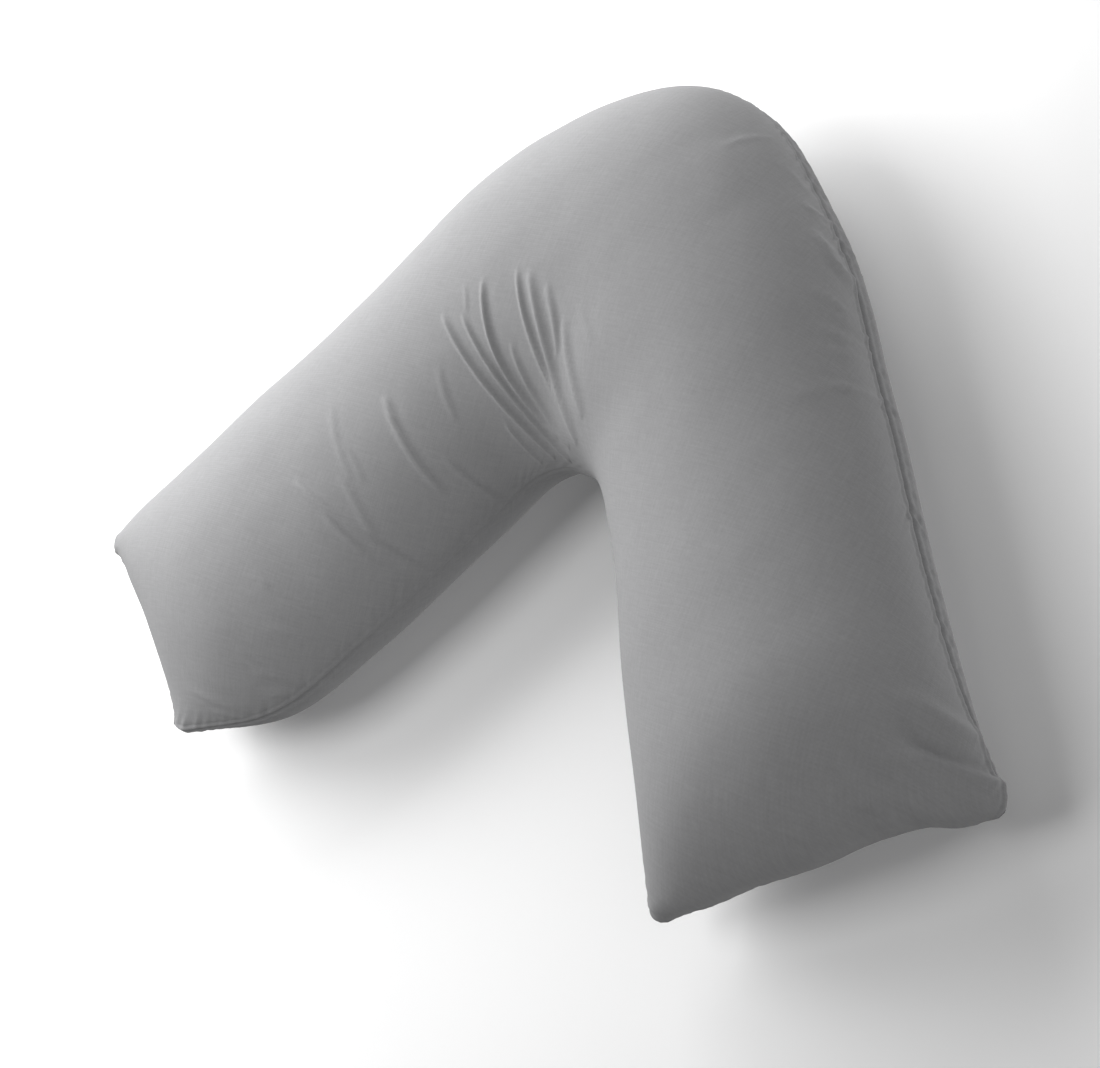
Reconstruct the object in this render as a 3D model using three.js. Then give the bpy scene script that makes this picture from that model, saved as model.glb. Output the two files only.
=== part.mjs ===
import * as THREE from 'three';

// V shaped pillow, lying on its back with the point of the V towards +Y.
// Two V shaped panels of plain woven cloth are sewn together all round and filled, so the pillow is
// one closed solid: a crowned face above the seam and a back that flattens where it rests.
// Lengths are in millimetres, +Z is up and z = 0 is what the pillow rests on.

// Spine, the middle line of the V: measured from the middle of the bend, negative in the right arm
const armSplay = 38.5;        // degrees between each arm and the -Y axis
const bendReach = 222;        // how far the bend reaches along the spine on each side
const rightEnd = -580;
const leftEnd = 612;
const spineReach = 700;       // how far each half of the spine is worked out, past both ends
const spineStep = 1;

// Ends of the arms
const crownReach = 150;       // length over which face and back close down to the end seam
const edgeReach = 160;        // length over which the uneven end edge fades into the arm
const cornerRadius = 14;

// Cross section: an exponent of 0.5 gives an ellipse, and a larger one a sharper seam
const faceFullness = 0.58;
const backFullness = 0.5;
const backSquareness = 2.6;   // above 2 the back is flatter in the middle and rounder at its sides
const backSink = 1.05;        // bulge of the back as a share of the seam height, flattened at z = 0

// Sections across the arms: how far the inner and the outer seam stand from the spine, the height
// of the seam above the floor, and the height of the crown above the seam
const sections = [
  { along: -600, inner: 169, outer: 152, seam: 64, crown: 92 },
  { along: -490, inner: 152, outer: 143, seam: 77, crown: 92 },
  { along: -370, inner: 139, outer: 145, seam: 82, crown: 93 },
  { along: -250, inner: 123, outer: 151, seam: 83, crown: 94 },
  { along: -150, inner: 120, outer: 158, seam: 84, crown: 98 },
  { along: -70, inner: 131, outer: 192, seam: 86, crown: 102 },
  { along: 0, inner: 135, outer: 249, seam: 87, crown: 103 },
  { along: 70, inner: 136, outer: 218, seam: 86, crown: 102 },
  { along: 150, inner: 136, outer: 171, seam: 84, crown: 98 },
  { along: 250, inner: 150, outer: 151, seam: 83, crown: 94 },
  { along: 370, inner: 166, outer: 144, seam: 82, crown: 93 },
  { along: 490, inner: 166, outer: 136, seam: 77, crown: 92 },
  { along: 600, inner: 109, outer: 154, seam: 64, crown: 92 },
];

// End edges: how far each stands in from its arm's end, from the inner corner (0) to the outer (1)
const endEdge = [
  { across: 0.0, right: 18, left: 7 },
  { across: 0.1, right: 21, left: 14 },
  { across: 0.3, right: 21, left: 20 },
  { across: 0.5, right: 19, left: 21 },
  { across: 0.7, right: 18, left: 16 },
  { across: 0.82, right: 9, left: 12 },
  { across: 1.0, right: -2, left: 3 },
];

// Main creases of the face: each is a low ridge with a trough beside it, on the left of its way from
// one point to the other, and bowed to the right where bow is negative. They fan out from the crotch
// of the V, cross the left arm, and draw in the outer corner of the right arm. Depth is the drop of
// the trough and the rise of the ridge, and width is how far apart those two are, over 1.4.
const creases = [
  { fromX: -119, fromY: -47, toX: -62, toY: -100, bow: 0, depth: 3, width: 8 },
  { fromX: -101, fromY: -41, toX: -2, toY: -126, bow: -6, depth: 4, width: 6 },
  { fromX: -86, fromY: -16, toX: -6, toY: -117, bow: -9, depth: 4, width: 7 },
  { fromX: -56, fromY: 2, toX: -9, toY: -59, bow: -2, depth: 3, width: 6 },
  { fromX: -27, fromY: -69, toX: 24, toY: -121, bow: -3, depth: 3, width: 6 },
  { fromX: -39, fromY: 1, toX: 35, toY: -114, bow: -1, depth: 4, width: 7 },
  { fromX: 14, fromY: -34, toX: 31, toY: -77, bow: 0, depth: 2, width: 8 },
  { fromX: -148, fromY: -131, toX: -87, toY: -191, bow: -2, depth: 3, width: 9 },
  { fromX: -177, fromY: -238, toX: -96, toY: -259, bow: -14, depth: 3, width: 8 },
  { fromX: 430, fromY: -298, toX: 500, toY: -279, bow: 2, depth: 5, width: 9 },
  { fromX: 398, fromY: -334, toX: 462, toY: -338, bow: 0, depth: 4, width: 9 },
];
const creaseTaper = 0.7;      // below 1 a crease keeps its depth for longer towards its ends

// Mesh: steps between neighbouring places along the spine, and columns across each panel
const stretches = [
  { to: rightEnd + cornerRadius, steps: 4 },
  { to: -500, steps: 5 },
  { to: -430, steps: 4 },
  { to: -60, steps: 16 },
  { to: 180, steps: 36 },
  { to: 350, steps: 14 },
  { to: 540, steps: 8 },
  { to: leftEnd - cornerRadius, steps: 5 },
  { to: leftEnd, steps: 4 },
];
const columns = 24;

function smoothStep(t) {
  const u = THREE.MathUtils.clamp(t, 0, 1);
  return u * u * (3 - 2 * u);
}

// Smooth curve through the rows of a table, read from two of its columns
function curveThrough(table, key, column) {
  const x = table.map((row) => row[key]);
  const y = table.map((row) => row[column]);
  const last = x.length - 1;
  const rise = x.map((value, i) => (i < last ? (y[i + 1] - y[i]) / (x[i + 1] - value) : 0));
  const slope = x.map((value, i) => {
    if (i === 0) return rise[0];
    if (i === last) return rise[last - 1];
    const before = value - x[i - 1];
    const after = x[i + 1] - value;
    return (rise[i - 1] * after + rise[i] * before) / (before + after);
  });
  return (at) => {
    let i = 0;
    while (i < last - 1 && at > x[i + 1]) i += 1;
    const h = x[i + 1] - x[i];
    const t = (at - x[i]) / h;
    const t2 = t * t;
    const t3 = t2 * t;
    return (2 * t3 - 3 * t2 + 1) * y[i] + (t3 - 2 * t2 + t) * h * slope[i]
      + (3 * t2 - 2 * t3) * y[i + 1] + (t3 - t2) * h * slope[i + 1];
  };
}

const innerSeam = curveThrough(sections, 'along', 'inner');
const outerSeam = curveThrough(sections, 'along', 'outer');
const seamHeight = curveThrough(sections, 'along', 'seam');
const crownHeight = curveThrough(sections, 'along', 'crown');
const rightEdge = curveThrough(endEdge, 'across', 'right');
const leftEdge = curveThrough(endEdge, 'across', 'left');

// Heading of the spine: it runs towards -X at the middle and turns evenly into each arm
function heading(along) {
  const turn = THREE.MathUtils.degToRad(90 - armSplay);
  const share = THREE.MathUtils.clamp(along / bendReach, -1, 1);
  return Math.PI + turn * Math.sin((Math.PI / 2) * share);
}

// One half of the spine, walked from the middle of the bend in equal steps
function walkSpine(direction) {
  const points = [new THREE.Vector2(0, 0)];
  for (let along = 0; along < spineReach; along += spineStep) {
    const angle = heading(direction * (along + spineStep / 2));
    const step = new THREE.Vector2(Math.cos(angle), Math.sin(angle)).multiplyScalar(direction * spineStep);
    points.push(points[points.length - 1].clone().add(step));
  }
  return points;
}

const rightSpine = walkSpine(-1);
const leftSpine = walkSpine(1);

function spinePoint(along) {
  const half = along < 0 ? rightSpine : leftSpine;
  const place = Math.abs(along) / spineStep;
  const i = Math.min(Math.floor(place), half.length - 2);
  return half[i].clone().lerp(half[i + 1], place - i);
}

// Point of the face or the back, before creasing
function panelPoint(along, across, isFace) {
  const fromEnd = Math.min(along - rightEnd, leftEnd - along);
  const inCorner = Math.max(cornerRadius - fromEnd, 0);
  const cut = cornerRadius - Math.sqrt(cornerRadius ** 2 - inCorner ** 2);
  const inner = innerSeam(along) - cut;
  const outer = outerSeam(along) - cut;
  const offset = across * (inner + outer) - inner;

  const edgeShift = smoothStep(1 - (along - rightEnd) / edgeReach) * rightEdge(across)
    - smoothStep(1 - (leftEnd - along) / edgeReach) * leftEdge(across);
  const centre = spinePoint(along + edgeShift);
  const angle = heading(along + edgeShift);
  const x = centre.x + offset * Math.sin(angle);
  const y = centre.y - offset * Math.cos(angle);

  const beforeEnd = 1 - THREE.MathUtils.clamp(fromEnd / crownReach, 0, 1);
  const endRise = Math.max(1 - beforeEnd ** 2, 0) ** faceFullness;
  const fromMiddle = Math.abs(2 * across - 1);
  const seam = seamHeight(along);
  if (isFace) {
    const rise = Math.max(1 - fromMiddle ** 2, 0) ** faceFullness * endRise;
    return new THREE.Vector3(x, y, seam + crownHeight(along) * rise);
  }
  const sink = Math.max(1 - fromMiddle ** backSquareness, 0) ** backFullness * endRise;
  return new THREE.Vector3(x, y, Math.max(seam * (1 - backSink * sink), 0));
}

// Depth of all creases together at a place on the face, negative on their ridges
function creaseDepth(x, y) {
  let depth = 0;
  for (const crease of creases) {
    const runX = crease.toX - crease.fromX;
    const runY = crease.toY - crease.fromY;
    const length = Math.hypot(runX, runY);
    const share = ((x - crease.fromX) * runX + (y - crease.fromY) * runY) / length ** 2;
    if (share <= 0 || share >= 1) continue;
    const aside = ((y - crease.fromY) * runX - (x - crease.fromX) * runY) / length;
    const taper = 4 * share * (1 - share);
    const t = (aside - crease.bow * taper) / crease.width;
    const profile = Math.SQRT2 * t * Math.exp(0.5 - t * t);
    depth += crease.depth * taper ** creaseTaper * profile;
  }
  return depth;
}

// Point of the face moved along its normal where a crease runs. The normal comes from neighbouring
// points, so next to the seam, where there are none on one side, the face stays as it is.
function facePoint(along, across) {
  const point = panelPoint(along, across, true);
  const depth = creaseDepth(point.x, point.y);
  const alongStep = 1;
  const acrossStep = 0.01;
  if (depth === 0 || Math.min(across, 1 - across) < acrossStep) return point;
  const alongWay = panelPoint(along + alongStep, across, true)
    .sub(panelPoint(along - alongStep, across, true));
  const acrossWay = panelPoint(along, across + acrossStep, true)
    .sub(panelPoint(along, across - acrossStep, true));
  const normal = acrossWay.cross(alongWay).normalize();
  return point.addScaledVector(normal, -depth);
}

function rowPlaces() {
  const rows = [rightEnd];
  for (const stretch of stretches) {
    const from = rows[rows.length - 1];
    for (let i = 1; i <= stretch.steps; i += 1) {
      rows.push(from + ((stretch.to - from) * i) / stretch.steps);
    }
  }
  return rows;
}

// Closed skin of the pillow: two grids of points that share their rims along the seam
function pillowGeometry() {
  const rows = rowPlaces();
  const last = rows.length - 1;
  const positions = [];
  const faceIndex = [];
  const backIndex = [];
  const addPoint = (point) => {
    positions.push(point.x, point.y, point.z);
    return positions.length / 3 - 1;
  };
  rows.forEach((along, row) => {
    faceIndex.push([]);
    backIndex.push([]);
    for (let column = 0; column <= columns; column += 1) {
      const across = (1 - Math.cos((Math.PI * column) / columns)) / 2;
      const onSeam = row === 0 || row === last || column === 0 || column === columns;
      const point = onSeam ? panelPoint(along, across, true) : facePoint(along, across);
      faceIndex[row].push(addPoint(point));
      backIndex[row].push(onSeam ? faceIndex[row][column] : addPoint(panelPoint(along, across, false)));
    }
  });

  const triangles = [];
  for (let row = 0; row < last; row += 1) {
    for (let column = 0; column < columns; column += 1) {
      for (const [grid, isFace] of [[faceIndex, true], [backIndex, false]]) {
        const a = grid[row][column];
        const b = grid[row + 1][column];
        const c = grid[row + 1][column + 1];
        const d = grid[row][column + 1];
        if (isFace) triangles.push(a, c, b, a, d, c);
        else triangles.push(a, b, c, a, c, d);
      }
    }
  }

  const geometry = new THREE.BufferGeometry();
  geometry.setAttribute('position', new THREE.Float32BufferAttribute(positions, 3));
  geometry.setIndex(triangles);
  geometry.computeVertexNormals();
  return geometry;
}

// The origin is on the floor, under the middle of the pillow's box
const geometry = pillowGeometry();
geometry.computeBoundingBox();
const middle = geometry.boundingBox.getCenter(new THREE.Vector3());
geometry.translate(-middle.x, -middle.y, 0);

const cloth = new THREE.MeshStandardMaterial({ color: 0x8e8f91, roughness: 0.9, metalness: 0 });
const pillow = new THREE.Mesh(geometry, cloth);
pillow.name = 'v_pillow';

const part = new THREE.Group();
part.add(pillow);

export default part;
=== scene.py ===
import math

import bpy
import numpy as np
from mathutils import Matrix, Vector


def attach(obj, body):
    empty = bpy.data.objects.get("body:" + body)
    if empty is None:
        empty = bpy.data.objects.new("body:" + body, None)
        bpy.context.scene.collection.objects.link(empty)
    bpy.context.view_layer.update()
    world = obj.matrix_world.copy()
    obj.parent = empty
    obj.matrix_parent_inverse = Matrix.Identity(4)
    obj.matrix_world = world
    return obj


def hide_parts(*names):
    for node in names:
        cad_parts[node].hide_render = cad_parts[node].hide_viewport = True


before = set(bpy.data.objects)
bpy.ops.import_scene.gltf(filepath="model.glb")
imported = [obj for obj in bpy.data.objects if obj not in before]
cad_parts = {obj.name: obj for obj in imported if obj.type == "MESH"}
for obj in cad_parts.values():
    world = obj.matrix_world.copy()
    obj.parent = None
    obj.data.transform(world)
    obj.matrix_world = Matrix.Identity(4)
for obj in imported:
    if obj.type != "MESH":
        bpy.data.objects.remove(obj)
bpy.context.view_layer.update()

# Camera.
# It looks down on the face of the pillow from the side of the right arm, rolled to its left, through
# a short telephoto lens. Place, aim, roll and lens come from a fit of the outline. Places are in
# metres in the pillow's own frame.
CAMERA_PLACE = Vector((1.3820, -0.4434, 1.7140))
CAMERA_AIM = Vector((0.0338, -0.0845, 0.1000))
CAMERA_ROLL = -55.23         # degrees about its own axis, from level
CAMERA_LENS = 79.6           # millimetres
CAMERA_SENSOR = 36           # its width, in millimetres

camera = bpy.data.objects.new("camera", bpy.data.cameras.new("camera"))
camera.data.sensor_width = CAMERA_SENSOR
camera.data.lens = CAMERA_LENS
camera.location = CAMERA_PLACE
level = (CAMERA_AIM - CAMERA_PLACE).to_track_quat("-Z", "Y").to_matrix()
camera.rotation_euler = (level @ Matrix.Rotation(math.radians(CAMERA_ROLL), 3, "Z")).to_euler()
bpy.context.collection.objects.link(camera)
bpy.context.scene.camera = camera

# Pillow, of a front and a back panel.
# Both are V shaped pieces of plain woven cotton. They are sewn together all round, right sides in,
# turned out through a gap in the seam and stuffed with loose fibre, so the face is crowned, the
# sides draw in to the seam, and the back flattens where it lies. Sizes are in millimetres.
METRE = 1000

# Arms and bend: a line runs up the middle of one arm, round the bend and down the other. Its splay
# and reach, the sections and the end edges come from a least squares fit of the outline, rounded,
# and the right end was then changed.
ARM_SPLAY = 38.5             # degrees between each arm and the -Y axis
BEND_REACH = 222             # how far the bend reaches along the line on each side
LINE_REACH = 700.0           # how far each half of the line is worked out, past both ends
RIGHT_END = -580
LEFT_END = 612
CROWN_REACH = (160, 150)     # length over which the right and left ends close down to their seam
EDGE_REACH = 160             # length over which the uneven end edge fades into the arm
CORNER_RADIUS = 14
OUTLINE_MIDDLE = (-10.5, -115.0)  # x and y of the point that the frame has its origin under
FACE_FULLNESS = 0.58         # 0.5 makes the section an ellipse, more gives a sharper seam
BACK_FULLNESS = 0.5
FACE_END_FULLNESS = (0.32, 0.58)  # the same for the right and left ends: the right one is blunt
BACK_END_FULLNESS = (1.1, 0.58)
BACK_SQUARENESS = 2.6        # above 2 the back is flatter in the middle and rounder at its sides
BACK_SINK = 1.05             # bulge of the back as a share of the seam height, cut off at the floor

# along the line, inner seam and outer seam from the line, seam above floor, crown above seam
SECTIONS = np.array([
    (-600, 181, 146, 42, 116),
    (-490, 153, 143, 73, 98),
    (-370, 139, 145, 82, 93),
    (-250, 123, 151, 83, 94),
    (-150, 120, 158, 84, 98),
    (-70, 131, 192, 86, 102),
    (0, 135, 249, 87, 103),
    (70, 136, 218, 86, 102),
    (150, 136, 171, 84, 98),
    (250, 150, 151, 83, 94),
    (370, 166, 144, 82, 93),
    (490, 166, 136, 77, 92),
    (600, 109, 154, 64, 92),
], float)

# across the end from the inner corner, how far in the right end and the left end stand there
END_EDGE = np.array([
    (0.0, 29, 7),
    (0.1, 20, 14),
    (0.3, 17, 20),
    (0.5, 13, 21),
    (0.7, 18, 16),
    (0.8, 17, 13),
    (0.9, 7, 8),
    (1.0, 7, 3),
], float)


def curve_through(table, column, at):
    """Smooth curve through a table's first column and another one, read at many places."""
    x, y = table[:, 0], table[:, column]
    gap = np.diff(x)
    rise = np.diff(y) / gap
    inside = (rise[:-1] * gap[1:] + rise[1:] * gap[:-1]) / (gap[:-1] + gap[1:])
    slope = np.concatenate([rise[:1], inside, rise[-1:]])
    i = np.clip(np.searchsorted(x, at) - 1, 0, len(x) - 2)
    t = (at - x[i]) / gap[i]
    return (
        (2 * t**3 - 3 * t**2 + 1) * y[i] + (t**3 - 2 * t**2 + t) * gap[i] * slope[i]
        + (3 * t**2 - 2 * t**3) * y[i + 1] + (t**3 - t**2) * gap[i] * slope[i + 1]
    )


def smooth_step(t):
    u = np.clip(t, 0, 1)
    return u * u * (3 - 2 * u)


# The line is walked out from the middle of the bend, where it heads towards -X.
line_along = np.arange(-LINE_REACH, LINE_REACH + 1)
turn = math.radians(90 - ARM_SPLAY)
line_heading = math.pi + turn * np.sin(math.pi / 2 * np.clip(line_along / BEND_REACH, -1, 1))
middle_heading = (line_heading[1:] + line_heading[:-1]) / 2
line_x = np.concatenate([[0], np.cumsum(np.cos(middle_heading))])
line_y = np.concatenate([[0], np.cumsum(np.sin(middle_heading))])
line_x -= np.interp(0, line_along, line_x)
line_y -= np.interp(0, line_along, line_y)


def panel_points(along, across, is_face):
    """Points of one smooth panel; across runs from 0 at the inner seam to 1 at the outer one."""
    along, across = np.broadcast_arrays(along, across)
    from_end = np.minimum(along - RIGHT_END, LEFT_END - along)
    in_corner = np.clip(CORNER_RADIUS - from_end, 0, CORNER_RADIUS)
    cut = CORNER_RADIUS - np.sqrt(CORNER_RADIUS**2 - in_corner**2)
    inner = curve_through(SECTIONS, 1, along) - cut
    outer = curve_through(SECTIONS, 2, along) - cut
    offset = across * (inner + outer) - inner

    right = smooth_step(1 - (along - RIGHT_END) / EDGE_REACH) * curve_through(END_EDGE, 1, across)
    left = smooth_step(1 - (LEFT_END - along) / EDGE_REACH) * curve_through(END_EDGE, 2, across)
    place = along + right - left
    heading = np.interp(place, line_along, line_heading)
    x = np.interp(place, line_along, line_x) + offset * np.sin(heading)
    y = np.interp(place, line_along, line_y) - offset * np.cos(heading)

    reach = np.where(along < 0, *CROWN_REACH)
    before_end = 1 - np.clip(from_end / reach, 0, 1)
    fullness = np.where(along < 0, *(FACE_END_FULLNESS if is_face else BACK_END_FULLNESS))
    end_rise = np.maximum(1 - before_end**2, 0) ** fullness
    from_middle = np.abs(2 * across - 1)
    seam = curve_through(SECTIONS, 3, along)
    if is_face:
        rise = np.maximum(1 - from_middle**2, 0) ** FACE_FULLNESS * end_rise
        z = seam + curve_through(SECTIONS, 4, along) * rise
    else:
        sink = np.maximum(1 - from_middle**BACK_SQUARENESS, 0) ** BACK_FULLNESS * end_rise
        z = seam * (1 - BACK_SINK * sink)
    return np.stack([x, y, z], axis=-1)


# Mesh places: rows stand close together at the ends and through the creases of the bend, columns
# close together beside the seam, where the groove and the puckers are.
# where a stretch of rows ends along the line, and how many steps it has
ROW_STRETCHES = [
    (RIGHT_END + 20, 12),
    (-520, 16),
    (-100, 110),
    (160, 175),
    (350, 68),
    (LEFT_END - 60, 55),
    (LEFT_END - 20, 12),
    (LEFT_END, 12),
]
NEAR_STEP = 0.9              # between columns beside the seam
FAR_STEPS = (3.5, 6.5)       # between columns in the middle of the panel's inner and outer half
NEAR_WIDTH = 60              # over which one step grows to the other
MEASURED_PLACE = -300.0      # the section whose length over the cloth sets the columns
FINE_COUNT = 4001            # points that it is measured with

rows = [float(RIGHT_END)]
for stretch_end, steps in ROW_STRETCHES:
    rows += list(np.linspace(rows[-1], stretch_end, steps + 1)[1:])
rows = np.array(rows)

fine_columns = (1 - np.cos(np.linspace(0, math.pi, FINE_COUNT))) / 2
fine_line = panel_points(np.array(MEASURED_PLACE), fine_columns, True)
fine_length = np.concatenate([[0], np.cumsum(np.linalg.norm(np.diff(fine_line, axis=0), axis=1))])


def steps_from_seam(far_step):
    """Lengths over the cloth from a seam to the middle of the panel, where the columns stand."""
    half = [0.0]
    while half[-1] < fine_length[-1] / 2:
        half.append(half[-1] + NEAR_STEP + (far_step - NEAR_STEP) * min(half[-1] / NEAR_WIDTH, 1))
    return np.array(half) * (fine_length[-1] / 2 / half[-1])


inner_half, outer_half = [steps_from_seam(far_step) for far_step in FAR_STEPS]
over_cloth = np.concatenate([inner_half, fine_length[-1] - outer_half[-2::-1]])
columns = np.interp(over_cloth, fine_length, fine_columns)

# Seam: a groove where the panels meet, with the turned-in edges as a low roll beside it.
GROOVE_DEPTH = 3.6
GROOVE_WIDTH = 1.5
ROLL_HEIGHT = 0.9
ROLL_PLACE = 4.4
ROLL_WIDTH = 1.7
EDGE_DEPTH = 0.6             # second, shallow groove where the turned-in edges stop
EDGE_PLACE = 8.0
EDGE_WIDTH = 1.3
CORNER_FADE = 16             # distance from a corner over which all three fade away

# along the line, how plainly the inner and the outer seam show, how much each puckers, and how far
# each is drawn in below the bulge of the panels
SEAM_LOOK = np.array([
    (-600, 0.9, 1.0, 0.6, 0.7, 0, 0),
    (-520, 0.6, 1.0, 0.5, 0.7, 1, 3),
    (-400, 0.4, 1.0, 0.5, 0.8, 2, 5),
    (-220, 0.3, 1.0, 0.5, 0.9, 2, 6),
    (-80, 0.2, 1.0, 0.2, 1.0, 1, 6),
    (0, 0.2, 0.7, 0.2, 0.8, 0, 4),
    (120, 0.2, 0.6, 0.2, 0.9, 0, 4),
    (330, 0.2, 0.8, 0.4, 0.8, 0, 4),
    (430, 0.5, 1.0, 0.8, 0.8, 0, 3),
    (620, 0.7, 1.0, 0.8, 0.8, 0, 0),
], float)
FACE_PULL = 30               # how far into the face the draw-in reaches
BACK_PULL = 9                # and into the back, where the bulge hangs over it
PULL_FADE = 60               # distance from an end over which it fades away

# across the end from the inner corner, how far the right end's and the left end's seam is drawn in
END_PULL = np.array([
    (0.0, 0, 0),
    (0.1, 8, 1),
    (0.3, 10, 3),
    (0.6, 9, 3),
    (0.82, 2, 2),
    (1.0, 0, 0),
], float)
END_PULL_REACH = (18, 60)    # on the face and on the back

# Puckers: the sewing thread draws the cloth in, so short waves run off the seam into both panels.
PUCKER_HEIGHT = 0.55
PUCKER_PEAK = 8.0            # how far from the seam they stand highest
PUCKER_SLANT = 1.1           # how far they lean along the seam for each millimetre off it
PUCKER_LENGTHS = (9, 24)     # shortest and longest wave along the seam
PUCKER_WAVES = 18
PUCKER_FADE = 25             # distance from a corner over which they fade away
CHANCE_SEED = 7

chance = np.random.default_rng(CHANCE_SEED)
pucker_lengths = np.geomspace(*PUCKER_LENGTHS, PUCKER_WAVES)
pucker_starts = chance.uniform(0, 2 * math.pi, (4, PUCKER_WAVES))


def pucker_height(seam_length, from_seam, which_seam):
    place = seam_length + PUCKER_SLANT * from_seam
    turns = 2 * math.pi * place[..., None] / pucker_lengths + pucker_starts[which_seam]
    wave = np.sin(turns).sum(axis=-1) / math.sqrt(PUCKER_WAVES / 2)
    reach = from_seam / PUCKER_PEAK
    return PUCKER_HEIGHT * wave * reach**2 * np.exp(2 - 2 * reach)


# Creases of the face. Each is a narrow ridge, steep on the right of its way and falling off slowly
# into a trough on its left, where the cloth is pulled towards the crotch of the V. The ways were
# picked and most of them turned into millimetres by a program, and then many were moved. Heights
# and widths are set one by one.
# from x, from y, to x, to y, bow to the left, height of the ridge, width of the trough
CREASES = np.array([
    (-125, -51, -4, -132, -5, 4.2, 6),
    (-103, -47, 12, -131, -5, 4.1, 5),
    (-94, -12, 6, -119, -14, 4.6, 6),
    (-114, -18, -100, -44, 1, 0.9, 5),
    (-45, -60, 20, -124, -5, 2.4, 6),
    (-60, 3, 14, -95, -5, 3.5, 5),
    (-46, 3, 33, -121, 0, 3.7, 8),
    (-24, -5, 6, -58, 3, 2.8, 6),
    (5, -32, 45, -103, -1, 2.6, 8),
    (19, -16, 46, -46, 0, 0.9, 8),
    (-43, -123, -18, -139, -1, 1.5, 5),
    (-157, -134, -84, -197, -5, 3.4, 7),
    (-88, -168, -48, -181, -3, 1.8, 6),
    (-112, -95, -84, -135, -2, 1.2, 6),
    (-215, -152, -162, -214, -4, 1.3, 7),
    (-184, -184, -151, -214, 1, 1.1, 6),
    (-175, -216, -133, -256, 2, 1.4, 8),
    (-219, -232, -97, -263, -4, 3.6, 6),
    (-182, -251, -133, -272, -2, 1.8, 6),
    (-232, -322, -213, -330, 0, 1.4, 5),
    (-212, -364, -164, -357, 0, 1.3, 8),
    (-220, -404, -183, -398, 1, 1.4, 6),
    (-213, -419, -190, -406, 1, 1.4, 6),
    (-305, -436, -230, -434, -5, 1.2, 7),
    (-277, -448, -238, -441, -1, 1.1, 5),
    (-233, -391, -186, -398, -5, 1.1, 6),
    (75, 162, 94, 196, 2, 0.9, 7),
    (112, 171, 148, 150, 0, 1.0, 6),
    (150, 140, 176, 122, 0, 0.9, 5),
    (155, 134, 182, 124, 4, 1.8, 5),
    (180, 107, 206, 95, 0, 1.7, 5),
    (175, 113, 224, 71, 1, 2.6, 7),
    (191, 96, 217, 80, 0, 2.0, 5),
    (205, 57, 240, 44, 1, 1.8, 6),
    (228, 38, 254, 36, 1, 2.0, 5),
    (230, 22, 259, 26, -2, 2.0, 5),
    (246, 4, 268, 18, -1, 1.9, 5),
    (262, -25, 290, -12, -2, 2.0, 5),
    (438, -312, 478, -316, -2, 1.8, 6),
    (410, -333, 440, -349, 1, 4.0, 7),
    (423, -333, 451, -343, -2, 3.0, 7),
], float)
CREASE_TAPER = 0.45          # the smaller, the closer to its ends a crease keeps its full height
RIDGE_STEEPNESS = 0.3        # width of the ridge's steep side as a share of the trough's width
TROUGH_FALL = 1.5            # the more, the faster the ridge falls off and the deeper the trough
CREASE_FADE = 5              # distance from the seam over which creases and folds fade away

# Soft folds of the face, which run into the corners or where the filling has shifted.
# from x, from y, to x, to y, bow to the left, height, half width
FOLDS = np.array([
    (426, -250, 490, -260, -3, 4.0, 7),
    (428, -266, 502, -278, -12, -7.0, 7),
    (440, -292, 512, -283, -1, 7.5, 6),
    (405, -302, 488, -318, -3, -5.5, 8),
    (243, -56, 273, -18, 0, 0.6, 8),
    (60, 170, 118, 100, 4, 1.6, 22),
], float)


def along_crease(x, y, from_x, from_y, to_x, to_y, bow):
    """An arc from 0 at a crease's ends to 1 half way, and how far to its left each point lies."""
    run = np.array([to_x - from_x, to_y - from_y])
    length = np.hypot(*run)
    share = ((x - from_x) * run[0] + (y - from_y) * run[1]) / length**2
    aside = ((y - from_y) * run[0] - (x - from_x) * run[1]) / length
    arc = np.clip(4 * share * (1 - share), 0, None)
    return arc, aside - bow * arc


def crease_height(x, y):
    height = np.zeros_like(x)
    for *way, ridge, width in CREASES:
        arc, distance = along_crease(x, y, *way)
        t = distance / width
        steep = np.exp(-((t / RIDGE_STEEPNESS) ** 2))
        slow = (1 - TROUGH_FALL * t) * np.exp(-(t**2))
        height += ridge * arc**CREASE_TAPER * np.where(t < 0, steep, slow)
    for *way, rise, width in FOLDS:
        arc, distance = along_crease(x, y, *way)
        height += rise * arc * np.exp(-((distance / width) ** 2))
    return height


# Filling: loose fibre never lies quite even, so both panels swell and sink a little over it.
FILLING_HEIGHT = 0.12
FILLING_LENGTHS = (45, 210)  # shortest and longest swell across the panel
FILLING_WAVES = 30
FILLING_FADE = 60            # distance from the seam over which it fades away

filling_lengths = np.geomspace(*FILLING_LENGTHS, FILLING_WAVES)
filling_ways = chance.uniform(0, math.pi, FILLING_WAVES)
filling_starts = chance.uniform(0, 2 * math.pi, FILLING_WAVES)


def filling_height(x, y):
    height = np.zeros_like(x)
    for length, way, start in zip(filling_lengths, filling_ways, filling_starts):
        turns = 2 * math.pi * (x * math.cos(way) + y * math.sin(way)) / length + start
        height += np.sin(turns) * length / FILLING_LENGTHS[1]
    return FILLING_HEIGHT * height


def growing_length(steps, axis):
    start = np.zeros_like(np.take(steps, [0], axis))
    return np.concatenate([start, np.cumsum(steps, axis=axis)], axis=axis)


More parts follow.
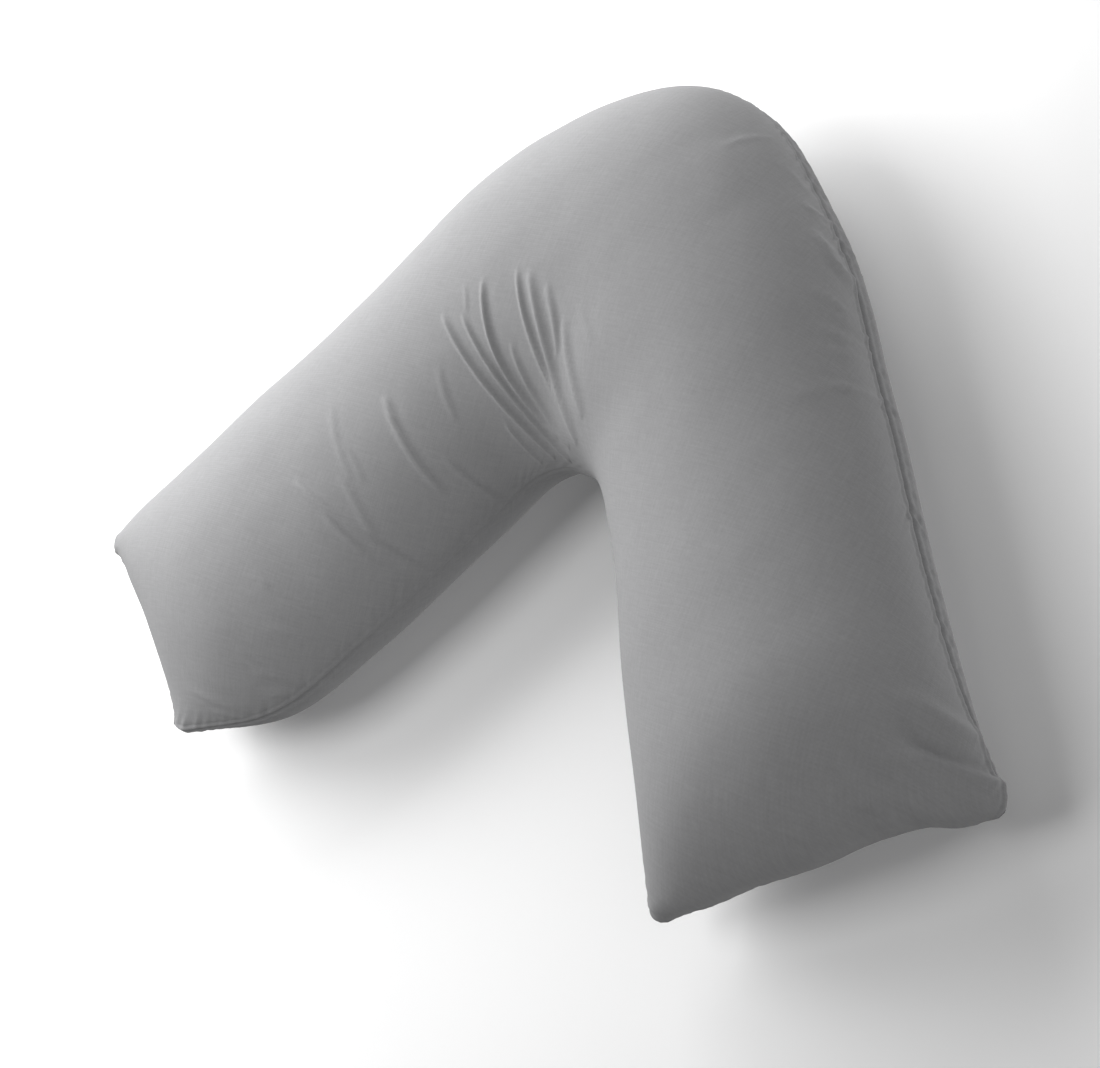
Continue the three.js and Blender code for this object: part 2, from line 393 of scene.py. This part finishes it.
def sewn_panel(is_face):
    """Points of one finished panel, and the same points on the flat cloth that it was cut from."""
    points = panel_points(rows[:, None], columns[None, :], is_face)
    is_outer = np.broadcast_to(columns > 0.5, points.shape[:2])
    is_left = np.broadcast_to(rows[:, None] > 0, points.shape[:2])
    shown, puckered, drawn = [
        np.where(
            is_outer,
            np.interp(rows, SEAM_LOOK[:, 0], SEAM_LOOK[:, column + 1])[:, None],
            np.interp(rows, SEAM_LOOK[:, 0], SEAM_LOOK[:, column])[:, None],
        )
        for column in (1, 3, 5)
    ]
    over_side = growing_length(np.linalg.norm(np.diff(points, axis=1), axis=-1), 1)
    from_side = np.minimum(over_side, over_side[:, -1:] - over_side)
    outwards = points[:, -1:, :2] - points[:, :1, :2]
    outwards = outwards / np.linalg.norm(outwards, axis=-1, keepdims=True)
    over_end = growing_length(np.linalg.norm(np.diff(points, axis=0), axis=-1), 0)
    from_end = np.minimum(over_end, over_end[-1:] - over_end)
    pull = drawn * np.exp(-((from_side / (FACE_PULL if is_face else BACK_PULL)) ** 2))
    pull *= smooth_step(from_end / PULL_FADE)
    points[..., :2] -= outwards * (pull * np.where(is_outer, 1, -1))[..., None]
    end_pull = [np.interp(columns, END_PULL[:, 0], END_PULL[:, column]) for column in (1, 2)]
    end_pull = np.where(is_left, -end_pull[1], end_pull[0])
    end_pull = end_pull * np.exp(-((from_end / END_PULL_REACH[0 if is_face else 1]) ** 2))
    heading = np.interp(rows, line_along, line_heading)[:, None]
    points[..., 0] += end_pull * np.cos(heading)
    points[..., 1] += end_pull * np.sin(heading)

    normal = np.cross(np.gradient(points, axis=1), np.gradient(points, axis=0))
    normal /= np.maximum(np.linalg.norm(normal, axis=-1, keepdims=True), 1e-9)
    if not is_face:
        normal = -normal
    side_length = np.where(is_outer, over_end[:, -1:], over_end[:, :1])
    end_length = np.where(is_left, over_side[-1:], over_side[:1])
    from_seam = np.minimum(from_side, from_end)
    height = -GROOVE_DEPTH * np.exp(-((from_seam / GROOVE_WIDTH) ** 2))
    height += ROLL_HEIGHT * np.exp(-(((from_seam - ROLL_PLACE) / ROLL_WIDTH) ** 2))
    height -= EDGE_DEPTH * np.exp(-(((from_seam - EDGE_PLACE) / EDGE_WIDTH) ** 2))
    height *= shown * smooth_step(np.maximum(from_side, from_end) / CORNER_FADE)
    along_sides = pucker_height(side_length, from_side, is_outer * 1)
    across_ends = pucker_height(end_length, from_end, is_left + 2)
    height += along_sides * puckered * smooth_step(from_end / PUCKER_FADE)
    height += across_ends * smooth_step(from_side / PUCKER_FADE)
    height += filling_height(points[..., 0], points[..., 1]) * smooth_step(from_seam / FILLING_FADE)
    if is_face:
        height += crease_height(points[..., 0], points[..., 1]) * smooth_step(from_seam / CREASE_FADE)
    finished = points + normal * height[..., None]
    finished[..., 2] = np.maximum(finished[..., 2], 0)

    middle = len(columns) // 2
    flat_offset = over_side - over_side[:, [middle]]
    flat = points[:, [middle], :2] + outwards * flat_offset[..., None]
    return finished, flat


face, face_flat = sewn_panel(True)
back, back_flat = sewn_panel(False)

# Sewing up: the panels share the points of their rim, so the pillow is one closed skin.
rim = np.zeros(face.shape[:2], bool)
rim[[0, -1], :] = True
rim[:, [0, -1]] = True
face[rim] = (face[rim] + back[rim]) / 2
face[..., :2] -= OUTLINE_MIDDLE
back[..., :2] -= OUTLINE_MIDDLE

grid = np.arange(rim.size).reshape(rim.shape)
back_index = grid.copy()
back_index[~rim] = rim.size + np.arange(np.count_nonzero(~rim))


def quads(index, is_face):
    a, b, c, d = index[:-1, :-1], index[1:, :-1], index[1:, 1:], index[:-1, 1:]
    order = [a, d, c, b] if is_face else [a, b, c, d]
    return np.stack([corner.ravel() for corner in order], axis=1)


corners = np.concatenate([quads(grid, True), quads(back_index, False)])
places = np.concatenate([face.reshape(-1, 3), back[~rim]]) / METRE
pillow_mesh = bpy.data.meshes.new("pillow_cloth")
pillow_mesh.from_pydata(places.tolist(), [], corners.tolist())
pillow_mesh.polygons.foreach_set("use_smooth", [True] * len(corners))
flat_places = np.concatenate([face_flat.reshape(-1, 2), back_flat.reshape(-1, 2)]) / METRE
flat_corners = np.concatenate([quads(grid, True), quads(grid + rim.size, False)])
pattern = pillow_mesh.uv_layers.new(name="flat_cloth")
pattern.data.foreach_set("uv", flat_places[flat_corners.ravel()].ravel())
pillow = bpy.data.objects.new("pillow_cloth", pillow_mesh)
bpy.context.collection.objects.link(pillow)

# Dyed cotton percale, plain woven and unglazed. Light from it is soft and nearly even, with a faint
# bloom of loose fibre at its edges. It is grey through and through, with threads a shade lighter or
# darker than each other, a few thick places in the yarn and a fine grain of fibre lifted by washing.
COTTON_SHADE = "#868687"
COTTON_TINT = "#99999a"
COTTON_ROUGHNESS = 0.88
COTTON_IOR = 1.5
COTTON_GLOSS = 0.2           # matt fibre gives back less of the sky at a glance than a film would
FIBRE_BLOOM = 0.04
BLOOM_SPREAD = 0.5
THREAD_SPACING = 2.0         # real thread is about 0.35 mm apart, too fine to show from here
THREAD_RELIEF = 0.04
SLUB_LENGTH = 26             # a thick place in the yarn, along the thread
MOTTLE_SIZE = 55             # clouds in the dye
MOTTLE_ROUGHNESS = 0.75
GRAIN_SIZE = 4.5             # patches of lifted fibre
SHADE_START = -0.3           # share of tint before the shares below are added
SLUB_SHADE = 0.45
GRAIN_SHADE = 0.4
MOTTLE_SHADE = 0.33
CROSSING_SHADE = 0.05
SLUB_RELIEF = 0.9            # height of a slub as a share of a thread's


def linear(hex_colour):
    shares = [int(hex_colour[i:i + 2], 16) / 255 for i in (1, 3, 5)]
    return [s / 12.92 if s <= 0.04045 else ((s + 0.055) / 1.055) ** 2.4 for s in shares] + [1.0]


def add_node(tree, kind, settings=None, **links):
    """A node with its settings; a link's value is a socket or a constant, its name the input."""
    node = tree.nodes.new(kind)
    for name, value in (settings or {}).items():
        setattr(node, name, value)
    for name, value in links.items():
        key = int(name[1:]) if name[0] == "i" and name[1:].isdigit() else name.replace("_", " ")
        if isinstance(value, bpy.types.NodeSocket):
            tree.links.new(value, node.inputs[key])
        else:
            node.inputs[key].default_value = value
    return node


cotton = bpy.data.materials.new("woven_cotton")
cotton.use_nodes = True
weave = cotton.node_tree
cotton_shader = weave.nodes["Principled BSDF"]
cotton_shader.inputs["Roughness"].default_value = COTTON_ROUGHNESS
cotton_shader.inputs["IOR"].default_value = COTTON_IOR
cotton_shader.inputs["Specular IOR Level"].default_value = COTTON_GLOSS
cotton_shader.inputs["Sheen Weight"].default_value = FIBRE_BLOOM
cotton_shader.inputs["Sheen Roughness"].default_value = BLOOM_SPREAD

cut_cloth = add_node(weave, "ShaderNodeUVMap", {"uv_map": "flat_cloth"}).outputs["UV"]
half_turns = METRE * math.pi / THREAD_SPACING
threads = add_node(weave, "ShaderNodeVectorMath", {"operation": "SCALE"}, i0=cut_cloth, Scale=half_turns)
thread_ways = add_node(weave, "ShaderNodeSeparateXYZ", Vector=threads.outputs[0])
warp = add_node(weave, "ShaderNodeMath", {"operation": "SINE"}, i0=thread_ways.outputs["X"])
weft = add_node(weave, "ShaderNodeMath", {"operation": "SINE"}, i0=thread_ways.outputs["Y"])
crossing = add_node(
    weave, "ShaderNodeMath", {"operation": "MULTIPLY"}, i0=warp.outputs[0], i1=weft.outputs[0]
)
crown = add_node(weave, "ShaderNodeMath", {"operation": "ABSOLUTE"}, i0=crossing.outputs[0])

# Slubs lie along the warp and along the weft, each a stretched noise one thread wide.
slubs = []
for stretch in ((1 / THREAD_SPACING, 1 / SLUB_LENGTH, 1), (1 / SLUB_LENGTH, 1 / THREAD_SPACING, 1)):
    stretched = add_node(
        weave, "ShaderNodeVectorMath", {"operation": "MULTIPLY"},
        i0=cut_cloth, i1=[METRE * share for share in stretch],
    )
    slubs.append(add_node(weave, "ShaderNodeTexNoise", Vector=stretched.outputs[0], Scale=1, Detail=1))
slub = add_node(
    weave, "ShaderNodeMath", {"operation": "ADD"},
    i0=slubs[0].outputs["Fac"], i1=slubs[1].outputs["Fac"],
)
mottle = add_node(
    weave, "ShaderNodeTexNoise",
    Vector=cut_cloth, Scale=METRE / MOTTLE_SIZE, Detail=5, Roughness=MOTTLE_ROUGHNESS,
)
grain = add_node(weave, "ShaderNodeTexNoise", Vector=cut_cloth, Scale=METRE / GRAIN_SIZE, Detail=2)

# The shade comes mostly from slubs and grain, then from the clouds and a little from crossings.
shade = SHADE_START
for source, share in (
    (slub.outputs[0], SLUB_SHADE),
    (grain.outputs["Fac"], GRAIN_SHADE),
    (mottle.outputs["Fac"], MOTTLE_SHADE),
    (crossing.outputs[0], CROSSING_SHADE),
):
    added = add_node(
        weave, "ShaderNodeMath", {"operation": "MULTIPLY_ADD"}, i0=source, i1=share, i2=shade
    )
    shade = added.outputs[0]
colour = add_node(
    weave, "ShaderNodeMix", {"data_type": "RGBA"},
    Factor=shade, i6=linear(COTTON_SHADE), i7=linear(COTTON_TINT),
)
weave.links.new(colour.outputs[2], cotton_shader.inputs["Base Color"])
relief = add_node(
    weave, "ShaderNodeMath", {"operation": "MULTIPLY_ADD"},
    i0=slub.outputs[0], i1=SLUB_RELIEF, i2=crown.outputs[0],
)
bump = add_node(
    weave, "ShaderNodeBump", Height=relief.outputs[0], Distance=THREAD_RELIEF / METRE, Strength=1
)
weave.links.new(bump.outputs[0], cotton_shader.inputs["Normal"])
pillow.data.materials.append(cotton)

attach(pillow, "root")
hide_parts("v_pillow")

# Floor.
# A sheet of white backdrop paper, large enough to fill the picture. It takes the pillow's shadow but
# throws no light back: what comes from below is set with the room light.
FLOOR_HALF = 6.0             # metres
PAPER_WHITE = "#f8f8f8"
PAPER_ROUGHNESS = 0.9

floor_mesh = bpy.data.meshes.new("floor")
floor_ways = [(-1, -1), (1, -1), (1, 1), (-1, 1)]
floor_corners = [(FLOOR_HALF * x, FLOOR_HALF * y, 0) for x, y in floor_ways]
floor_mesh.from_pydata(floor_corners, [], [(0, 1, 2, 3)])
floor = bpy.data.objects.new("floor", floor_mesh)
floor.visible_diffuse = False
floor.visible_glossy = False
floor.visible_shadow = False
bpy.context.collection.objects.link(floor)
paper = bpy.data.materials.new("backdrop_paper")
paper.use_nodes = True
paper_shader = paper.node_tree.nodes["Principled BSDF"]
paper_shader.inputs["Base Color"].default_value = linear(PAPER_WHITE)
paper_shader.inputs["Roughness"].default_value = PAPER_ROUGHNESS
floor.data.materials.append(paper)

# Lights.
# Soft boxes stand round the left half of the pillow, near and far, low and high. A pale room fills
# in from the near side, and from below as a white floor would, most of all from behind the bend. The
# watts started from a fit to the brightness of the cloth.
SOFT_BOXES = [
    # name, degrees round from +X, degrees up, metres away, watts
    ("side_soft_box", 180, 32, 2.2, 36.0),
    ("low_soft_box", 200, 20, 2.2, 5.7),
    ("near_soft_box", 135, 25, 1.4, 23.5),
    ("high_soft_box", 225, 58, 2.2, 18.8),
]
SOFT_BOX_WIDTH = 1.2         # metres
LIGHT_AIM = Vector((0, 0, 0.08))
ROOM_NEAR = 0.86             # above the horizon on the +X side, fading to nothing towards -X
ROOM_BELOW = 0.4             # below the horizon on every side
ROOM_BEHIND = 1.0            # added to it below the horizon on the +Y side

for name, around, up, away, watts in SOFT_BOXES:
    soft_box = bpy.data.objects.new(name, bpy.data.lights.new(name, "AREA"))
    soft_box.data.size = SOFT_BOX_WIDTH
    soft_box.data.energy = watts
    around, up = math.radians(around), math.radians(up)
    way = Vector((math.cos(around) * math.cos(up), math.sin(around) * math.cos(up), math.sin(up)))
    soft_box.location = away * way
    soft_box.rotation_euler = (LIGHT_AIM - away * way).to_track_quat("-Z", "Y").to_euler()
    bpy.context.collection.objects.link(soft_box)

room = bpy.data.worlds.new("room")
bpy.context.scene.world = room
room.use_nodes = True
direction = add_node(room.node_tree, "ShaderNodeTexCoord").outputs["Generated"]
parts = add_node(room.node_tree, "ShaderNodeSeparateXYZ", Vector=direction)
near_side = add_node(
    room.node_tree, "ShaderNodeMath", {"operation": "MULTIPLY", "use_clamp": True},
    i0=parts.outputs["X"], i1=ROOM_NEAR,
)
is_above = add_node(
    room.node_tree, "ShaderNodeMath", {"operation": "GREATER_THAN"}, i0=parts.outputs["Z"], i1=0
)
behind = add_node(room.node_tree, "ShaderNodeMath", {"operation": "MAXIMUM"}, i0=parts.outputs["Y"], i1=0)
below = add_node(
    room.node_tree, "ShaderNodeMath", {"operation": "MULTIPLY_ADD"},
    i0=behind.outputs[0], i1=ROOM_BEHIND, i2=ROOM_BELOW,
)
brightness = add_node(
    room.node_tree, "ShaderNodeMix",
    Factor=is_above.outputs[0], i2=below.outputs[0], i3=near_side.outputs[0],
)
background = room.node_tree.nodes["Background"]
background.inputs["Color"].default_value = (1, 1, 1, 1)
room.node_tree.links.new(brightness.outputs[0], background.inputs["Strength"])
bpy.context.scene.view_settings.view_transform = "Standard"
